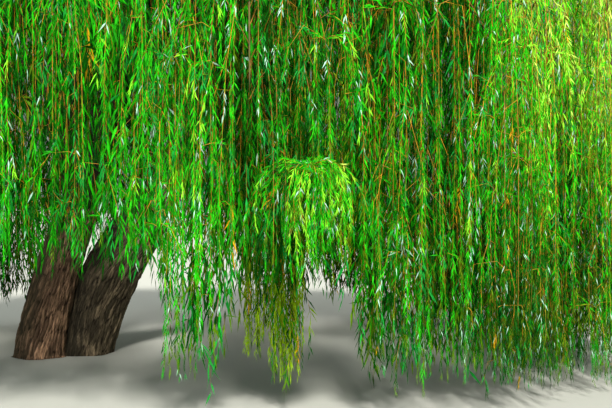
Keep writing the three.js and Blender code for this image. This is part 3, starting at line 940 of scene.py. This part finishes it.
def grow_strands(site, shoots, walls, stations, random):
    """Hanging twigs on the shoots, as far from each other as they can be"""
    wanted = strand_count(site)
    count = wanted * STRAND.pool
    starts = places_along(shoots, STRAND.along, random, count)
    directions = any_way(count, random)
    outs = random.uniform(*STRAND.outs, count)
    arches = outs * random.uniform(*STRAND.arch, count)
    low = hem_at(site, starts[:, 0] + directions[:, 0] * outs)
    low += lerp(*ABOVE_HEM["at_ground" if at_ground(site) else "anywhere"], random.random(count) ** 2)
    fall = random.uniform(*STRAND.fall, count)
    ends_z = np.maximum(np.where(random.random(count) < low_share(site), low, starts[:, 2] - fall), low)
    lines = hanging_lines(starts, directions, outs, arches, ends_z, STRAND.shoulder, TWIG_STEPS)
    lines = sway(lines, random)
    kept = clear_of_all(lines, walls, stations) & (starts[:, 2] - ends_z > STRAND.least)
    if site.name == FOUNTAIN.name:
        kept &= ~over_fountain(lines).any(axis=1)
    lines = lines[kept]
    chosen = spread_out(lines[:, lines.shape[1] // 2] * STRAND.apart, wanted)
    if site.name == LOW_CURTAIN.name:
        hangs_low = np.flatnonzero(lines[:, -1, 2] < LOW_CURTAIN.hems[0])
        chosen = np.union1d(chosen, hangs_low[:LOW_CURTAIN.more_low])
    return drawn(lines[chosen], "strands")


def grow_twigs(starts, shape, walls, stations, random):
    """Twigs that leave their starts on all sides, arch over and hang"""
    count = len(starts)
    outs = random.uniform(*shape.outs, count)
    directions = any_way(count, random)
    arches = outs * random.uniform(*shape.arch, count)
    if shape is CREST_TWIG:
        arches = np.maximum(arches, rise_to_dome(starts, directions, outs))
    ends_z = np.maximum(starts[:, 2] - random.uniform(*shape.fall, count), 2 * GROUND_MARGIN)
    lines = hanging_lines(starts, directions, outs, arches, ends_z, shape.shoulder, TWIG_STEPS)
    lines = sway(lines, random)
    return lines[clear_of_all(lines, walls, stations, shape.clear_from)]


def limb_end(bough, stem, shape):
    """The end of a bough and the start of the stem that goes on from it, as one line"""
    from_bough = round((1 - shape.bough_share) * Limb.STEPS)
    to_stem = round(shape.stem_share * Limb.STEPS)
    return np.concatenate([bough.line[from_bough:], stem.line[1:to_stem]])[None]


def grow_crest(bough, stem, walls, stations, random):
    """Short twigs all along the end of a bough and the stem that goes on from it"""
    starts = places_along(limb_end(bough, stem, CREST_TWIG), (0, 1), random, bough.site.ring.crest)
    return drawn(grow_twigs(starts, CREST_TWIG, walls, stations, random), "crest_twigs")


def grow_on_bough(bough, stem, stations, random):
    """Hanging twigs all along a bough and its stem, which may cross from one mass into the next"""
    limb = limb_end(bough, stem, BOUGH_TWIG)
    count = round(lengths_along(limb)[0, -1] * BOUGH_TWIG.each_metre)
    starts = places_along(limb, (0, 1), random, count)
    starts = starts[starts[:, 2] > BOUGH_TWIG.from_z]
    return drawn(grow_twigs(starts, BOUGH_TWIG, NO_WALLS, stations, random), "bough_twigs")


def grow_bursts(site, shoots, walls, stations, random):
    """Bursts of twigs at the shoulders of some shoots"""
    places = shoots[random.random(len(shoots)) < BURST.share, BURST.row]
    places = places[depth_at(places) < BURST.depth]
    places = places[places[:, 2] - BURST.fall[1] > hem_at(site, places[:, 0])]
    starts = np.repeat(places, BURST.twigs, axis=0)
    if not len(starts):
        return drawn(starts, "burst_twigs")
    return drawn(grow_twigs(starts, BURST, walls, stations, random), "burst_twigs")


def over_fountain(points):
    """Which points lie in front of the fountain, where they would hide it"""
    x, y, z = (points[..., axis] - FOUNTAIN.place[axis] for axis in range(3))
    tall = (z < FOUNTAIN_FRONT.above) & (z > -FOUNTAIN_FRONT.below)
    beside = (x > -FOUNTAIN_FRONT.left) & (x < FOUNTAIN_FRONT.right)
    return tall & beside & (y < FOUNTAIN_FRONT.behind)


def fountain_shoot(stem):
    """The shoot that carries the fountain of bright twigs on the front curtain"""
    start = stem.at(FOUNTAIN.start)
    across = np.array(FOUNTAIN.place) - start
    out = np.hypot(across[0], across[1])
    direction = np.array([across[0] / out, across[1] / out, 0])
    ends = np.array([out]), np.array([FOUNTAIN.arch]), np.array([FOUNTAIN.place[2]])
    line = hanging_lines(start[None], direction[None], *ends, FOUNTAIN.shoulder, SHOOT_STEPS)
    return drawn(line, "shoots")


def grow_mass(bough, stem, walls, stations, random):
    """Every twig of a mass, by kind"""
    site = bough.site
    shoots = grow_shoots(site, stem, walls, stations, random)
    grown = {"shoots": shoots, "strands": grow_strands(site, shoots, walls, stations, random)}
    grown["crest_twigs"] = grow_crest(bough, stem, walls, stations, random)
    count = round(len(grown["strands"]) * SIDE_TWIG.each)
    starts = places_along(grown["strands"], SIDE_TWIG.along, random, count)
    grown["side_twigs"] = drawn(grow_twigs(starts, SIDE_TWIG, walls, stations, random), "side_twigs")
    if site.ring.name != "top":
        grown["burst_twigs"] = grow_bursts(site, shoots, walls, stations, random)
    if site.name == FOUNTAIN.name:
        for kind in ("crest_twigs", "side_twigs", "burst_twigs"):
            grown[kind] = grown[kind][~over_fountain(grown[kind]).any(axis=1)]
        carrier = fountain_shoot(stem)
        grown["shoots"] = np.concatenate([shoots, carrier])
        twigs = []
        for shape in FOUNTAIN_TWIGS:
            starts = places_along(carrier, (1 - FOUNTAIN.spread, 1), random, shape.twigs)
            shape = Facts(**{**vars(BURST), **vars(shape)})
            twigs.append(grow_twigs(starts, shape, walls, stations, random))
        grown["fountain_twigs"] = drawn(np.concatenate(twigs), "fountain_twigs")
    return grown


def fineness_of(site, kind, lines):
    """How fine the leaves of each line are: 1 on the outside of the crown and 0 well inside it"""
    if kind == "fountain_twigs":
        return np.full(len(lines), FOUNTAIN.fineness)
    if site.name == LOW_CURTAIN.name and kind != "bough_twigs":
        return np.full(len(lines), LOW_CURTAIN.fineness)
    near, far = FINE_DEPTH
    middles = lines[:, lines.shape[1] // 2]
    exposed = 1 - ramp(depth_at(middles), near, far - near)
    close = ramp(NEAR.to_y, middles[:, 1], NEAR.over_y)
    close = close * ramp(NEAR.below_z, middles[:, 2], NEAR.over_z)
    return exposed * lerp(NEAR.elsewhere, 1, close)


def grow_leaves(lines, kind, site, walls, stations, random):
    """Leaves along the lines: their four points each, and the number of the spray that each is in"""
    fineness = fineness_of(site, kind, lines)
    pitches = lerp(INSIDE.pitch, OUTSIDE.pitch, fineness)
    lengths = lengths_along(lines)
    bare = LEAF.start + TWIGS[kind].bare * random.random(len(lines)) ** 3 * lengths[:, -1]
    counts = np.maximum(((lengths[:, -1] - bare) / pitches).astype(int), 1)
    which = np.repeat(np.arange(len(lines)), counts)
    order = np.arange(len(which)) - np.repeat(np.cumsum(counts) - counts, counts)
    count = len(which)
    distance = bare[which] + (order + random.uniform(-LEAF.stray, LEAF.stray, count)) * pitches[which]
    distance = np.clip(distance, 0, lengths[which, -1])
    roots, along = places_on(lines, lengths, which, distance)
    near_tip = distance / lengths[which, -1]
    turn = order * math.pi + random.uniform(0, 2 * math.pi, len(lines))[which]
    turn = turn + random.normal(0, LEAF.turn, count)
    across = unit(np.cross(along, ASIDE))
    side = across * np.cos(turn)[:, None] + np.cross(along, across) * np.sin(turn)[:, None]
    angle = np.radians(random.uniform(*LEAF.angles, count) * lerp(1.0, LEAF.tip_angle, near_tip**3))
    angle = angle[:, None]
    axis = along * np.cos(angle) + side * np.sin(angle)
    roll = random.normal(0, LEAF.roll, count)[:, None]
    outward = np.zeros_like(roots)
    outward[:, :2] = roots[:, :2] - CROWN_MIDDLE
    facing = unit(outward - axis * np.sum(outward * axis, axis=1, keepdims=True))
    width_way = np.cross(axis, facing)
    width_way = width_way * np.cos(roll) + facing * np.sin(roll)
    scale = lerp(INSIDE.leaf, OUTSIDE.leaf, fineness)[which]
    size = scale * random.uniform(*LEAF.sizes, count) * lerp(1.0, LEAF.tip_size, near_tip**4)
    length = (LEAF.length * size)[:, None]
    half = (LEAF.width * size * random.uniform(*LEAF.widths, count) / 2)[:, None]
    lift = np.cross(width_way, axis) * half * LEAF.fold
    widest = roots + axis * length * LEAF.widest + lift
    tips = roots + axis * length
    tips[:, 2] -= length[:, 0] * random.uniform(*LEAF.droops, count)
    points = np.stack([roots, widest - width_way * half, widest + width_way * half, tips], axis=1)
    clear = in_cell(tips, walls)
    clear[clear] = off_limbs(tips[clear], stations, LEAF_MARGIN)
    spray = np.unique(which * MOST_SPRAYS + order // LEAF.spray, return_inverse=True)[1]
    return points[clear], spray[clear]


def lightness(places):
    """How light the foliage is at each place, mostly between 0 and 1, with painted light and shade in it"""
    x, y, z = places.T
    # Painted shade inside the crown
    light = LIGHTNESS - SHADY.drop * ramp(depth_at(places), 0, SHADY.depth)
    for a, b, c, phase, weight in BANDS:
        light += weight * np.sin(a * x + b * y + c * z + phase)
    light -= LOW_DOWN.drop * ramp(LOW_DOWN.from_z, z, LOW_DOWN.over)
    # Painted light on the left side
    light += LEFT_SIDE.lift * ramp(LEFT_SIDE.to_x, x, LEFT_SIDE.over)
    # Painted sunlight on the upper right
    across, up = (ramp(*facts) for facts in zip((x, z), SUNNY.start, SUNNY.over))
    return light + SUNNY.lift * across * up


def choose_tints(roots, spray, lift, mossy, random):
    """The number of each leaf's tint, dealt out by spray"""
    sprays = spray.max() + 1
    level = lightness(roots) + lift + random.normal(0, SPRAY_SPREAD, sprays)[spray]
    tint = np.searchsorted(list(LEVELS.values()), level)
    low = ramp(OLIVE.from_z, roots[:, 2], OLIVE.over)
    first, second, third = (random.random(sprays)[spray] for _ in range(3))
    # Pale undersides and painted glints, on the outside of the crown only
    shows = (third > 1 - UNDERSIDE_GLINT_SPRAYS) & (random.random(len(tint)) < UNDERSIDE_GLINT_IN_SPRAY)
    strays = random.random(len(tint)) < UNDERSIDE_GLINT_STRAYS
    chosen = {
        "olive": first < lerp(*OLIVE.shares, low),
        "cool": first > 1 - COOL_SPRAYS,
        "moss": second < mossy,
        "gold": third < GOLD_SPRAYS,
        "underside_glint": (shows | strays) & (depth_at(roots) < UNDERSIDE_GLINT_DEPTH),
    }
    for name, leaves in chosen.items():
        tint[leaves] = tint_names.index(name)
    return tint


def low_curtain_at(site, z):
    """1 low on the inner curtain, where its leaves are mossy and lighter by painted light, and 0 elsewhere
    """
    if site.name != LOW_CURTAIN.name:
        return np.zeros(len(z))
    return ramp(LOW_CURTAIN.under_z, z, LOW_CURTAIN.over_z)


def keep_growth(kind, lines, site, walls, random):
    """Keeps the twigs of one kind in a mass, and the leaves that grow on them"""
    if not len(lines):
        return
    twig_lines[kind].append(lines)
    points, spray = grow_leaves(lines, kind, site, walls, stations, random)
    low = low_curtain_at(site, points[:, 0, 2])
    # The inner curtain's lift is painted light
    lift = TWIGS[kind].lift + LOW_CURTAIN.lift * low
    tints = choose_tints(points[:, 0], spray, lift, LOW_CURTAIN.moss * low, random)
    for number, name in enumerate(tint_names):
        leaf_points[name].append(points[tints == number])


def add_leaves(tint, points, material):
    most = MOST_TRIANGLES // len(LEAF_FACES)
    groups = max(1, math.ceil(len(points) / most))
    for number, group in enumerate(np.array_split(points, groups)):
        triangles = (LEAF_FACES[None] + group.shape[1] * np.arange(len(group))[:, None, None]).reshape(-1, 3)
        name = f"leaves_{tint}_{number + 1}"
        piece = add_mesh(name, group.reshape(-1, 3), triangles, material)
        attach(piece, "root")


# Build the skeleton
stems = make_stems()
sites = make_sites()
boughs = make_boughs(sites, stems)
limbs = [*stems, *boughs]
share_steps = np.linspace(0, 1, Limb.STEPS // STATION_STEP + 1)
stations = (
    np.concatenate([limb.line[::STATION_STEP] for limb in limbs]),
    np.concatenate([limb.radius_at(share_steps) for limb in limbs]),
)

# Bark
barks = {name: bark_material("bark_" + name, *colours) for name, colours in BARK_COLOURS.items()}


def foot_flare(phase):
    """Widens a stem towards the ground, most on the side of the other stem, into rounded root swellings"""
    def flare(distance, angle):
        low = np.exp(-np.maximum(distance - BURIED, 0) / FLARE.height)
        outward = FLARE.outward * np.cos(angle + phase)
        return 1 + low * (FLARE.even + outward + FLARE.root * np.cos(FLARE.roots * angle + phase))

    return flare


def damp_and_shade_beside(other):
    """How dark a stem's bark is with dampness and painted shade, on its side away from the sun and in the
    cleft between it and the other stem
    """
    centres, radii = other.line, other.radius_at(np.linspace(0, 1, len(other.line)))

    def damp_and_shade_at(vertices, outward):
        # Dampness and painted shade on the side facing away from the sun
        shaded = ramp(outward @ DAMP_AND_SHADE.faces, DAMP_AND_SHADE.start, DAMP_AND_SHADE.over)
        flat = vertices.reshape(-1, 3)
        apart = np.full(len(flat), np.inf)
        for centre, radius in zip(centres, radii):
            apart = np.minimum(apart, np.linalg.norm(flat - centre, axis=1) - radius)
        # Dampness and painted shade in the cleft between the stems
        cleft = 1 - np.clip(apart.reshape(shaded.shape) / DAMP_AND_SHADE.cleft, 0, 1)
        return np.maximum(shaded * DAMP_AND_SHADE.most, cleft)

    return damp_and_shade_at


# Each stem and the bough that goes straight on from it are one even limb, cut in two
shares = np.linspace(0, 1, Limb.STEPS + 1)
leaders = [bough for bough in boughs if bough.kind == "leader"]
for number, stem in enumerate(stems):
    leader = next(bough for bough in leaders if bough.stem is stem)
    sunk = np.linalg.norm(leader.line - stem.line[-1], axis=1) < LEADER_SUNK
    first = np.nonzero(~sunk)[0]
    first = first[first > 0][0]
    line = np.concatenate([stem.line[:-1], leader.line[first:]])
    radii = np.concatenate([stem.radius_at(shares)[:-1], leader.radius_at(shares)[first:]])
    even = evenly(line[None], TRUNK.steps)[0]
    lengths = lengths_along(line[None])[0]
    even_lengths = lengths_along(even[None])[0]
    even_radii = np.interp(even_lengths / even_lengths[-1], lengths / lengths[-1], radii)
    cut = (even_lengths < TRUNK.length).sum()
    salt = TRUNK.salts[number]
    below = slice(0, cut, TRUNK.every)
    flare = foot_flare(math.pi * (1 - number))
    damp_and_shade_at = damp_and_shade_beside(stems[1 - number])
    facts = (TRUNK.sides, TRUNK.plate, TRUNK.depth, salt, flare, damp_and_shade_at)
    part = bark_limb(even[below], even_radii[below], *facts)
    add_bark(f"trunk_{stem.name}", [part], barks[stem.name + "_stem"], ["trunk"])
    above = slice(cut - TRUNK.every, None, LEADER.every)
    facts = (LEADER.sides, LEADER.plate, LEADER.depth, salt)
    part = bark_limb(even[above], even_radii[above], *facts)
    add_bark(f"leader_{stem.name}", [part], barks["boughs"], [leader.name])

other = [bough for bough in boughs if bough.kind != "leader"]
parts = []
for number, bough in enumerate(other):
    rows = BOUGH_ROWS[bough.kind]
    line = evenly(bough.line[None], rows - 1)[0]
    shares = np.linspace(0, 1, rows)
    radii = bough.radius_at(shares)
    distance = shares * bough.length()
    radii = radii * (1 + BOUGH_BARK.swell * np.exp(-distance / (BOUGH_BARK.swell_length * radii[0])))
    depth = BOUGH_BARK.depth * radii[0]
    salt = BOUGH_BARK.salt + number
    parts.append(bark_limb(line, radii, BOUGH_SIDES[bough.kind], BOUGH_BARK.plate, depth, salt))
add_bark("boughs", parts, barks["boughs"], [bough.name for bough in other])

# Foliage
tint_names = list(TINTS)
leaf_points = {name: [] for name in TINTS}
twig_lines = {kind: [] for kind in TWIGS}
stem_lines, stem_radii = [], []
for index, bough in enumerate(boughs):
    site = bough.site
    random = np.random.default_rng(SEED + index)
    walls = cell_of(site, sites)
    stem = mass_stem(bough)
    stem_lines.append(stem.line[::MASS_STEM.every])
    stem_radii.append(stem.radius_at(np.linspace(0, 1, Limb.STEPS + 1))[::MASS_STEM.every])
    for kind, lines in grow_mass(bough, stem, walls, stations, random).items():
        keep_growth(kind, lines, site, walls, random)
    random = np.random.default_rng(SEED + len(boughs) + index)
    keep_growth("bough_twigs", grow_on_bough(bough, stem, stations, random), site, NO_WALLS, random)

for name, groups in leaf_points.items():
    points = np.concatenate(groups)
    add_leaves(name, points, leaf_material(name, TINTS[name]))

stem_bark = twig_material("stem_bark", colour=(0.155, 0.125, 0.030), darker=(0.080, 0.068, 0.022))
shoot_bark = twig_material("shoot_bark", colour=(0.42, 0.19, 0.010), darker=(0.17, 0.09, 0.010))
strand_bark = twig_material("strand_bark", colour=(0.78, 0.32, 0.006), darker=(0.30, 0.16, 0.008))
made = tube_mesh(np.array(stem_lines), np.array(stem_radii), MASS_STEM.sides)
twigs = [add_mesh("mass_stems", *made, stem_bark)]
for kind, drawing in TWIGS.items():
    lines = np.concatenate(twig_lines[kind])
    taper = np.linspace(*drawing.radii, lines.shape[1])
    made = tube_mesh(lines, np.tile(taper, (len(lines), 1)), TWIG_SIDES)
    twigs.append(add_mesh(kind, *made, shoot_bark if kind == "shoots" else strand_bark))
for piece in twigs:
    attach(piece, "root")
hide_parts(*("foliage_" + site.name for site in sites))

# Stage, light and camera
floor_material, _, floor_shader, _ = new_material("floor", roughness=0.9, specular=0.1)
floor_shader.inputs["Base Color"].default_value = (0.40, 0.41, 0.40, 1)
half, under = 400.0, -0.002
corners = [(-half, -half, under), (half, -half, under), (half, half, under), (-half, half, under)]
floor = add_mesh("floor", corners, [(0, 1, 2), (0, 2, 3)], floor_material)

world = bpy.data.worlds.new("studio")
world.use_nodes = True
world.node_tree.nodes["Background"].inputs["Color"].default_value = (0.74, 0.80, 0.72, 1)
world.node_tree.nodes["Background"].inputs["Strength"].default_value = 0.4
bpy.context.scene.world = world


def add_sun(name, azimuth, elevation, strength, angle, colour):
    """A soft sun. Azimuth 0 shines from the viewer's side, and 90 from the right"""
    light = bpy.data.lights.new(name, "SUN")
    light.energy = strength
    light.angle = math.radians(angle)
    light.color = colour
    lamp = bpy.data.objects.new(name, light)
    lamp.rotation_euler = (math.radians(90 - elevation), 0, math.radians(azimuth))
    bpy.context.scene.collection.objects.link(lamp)


add_sun("key", azimuth=9, elevation=47, strength=6.5, angle=8, colour=(1.0, 0.96, 0.84))
add_sun("fill", azimuth=-50, elevation=25, strength=0.7, angle=40, colour=(0.92, 0.97, 1.0))
add_sun("back", azimuth=205, elevation=42, strength=1.8, angle=35, colour=(1.0, 0.98, 0.90))

camera_data = bpy.data.cameras.new("camera")
camera_data.sensor_width = 36
camera_data.lens = 56.5
camera = bpy.data.objects.new("camera", camera_data)
camera.location = (4.07, -16, 2.5)
camera.rotation_euler = (math.radians(90), 0, 0)
bpy.context.scene.collection.objects.link(camera)
bpy.context.scene.camera = camera
bpy.context.scene.view_settings.view_transform = "Standard"
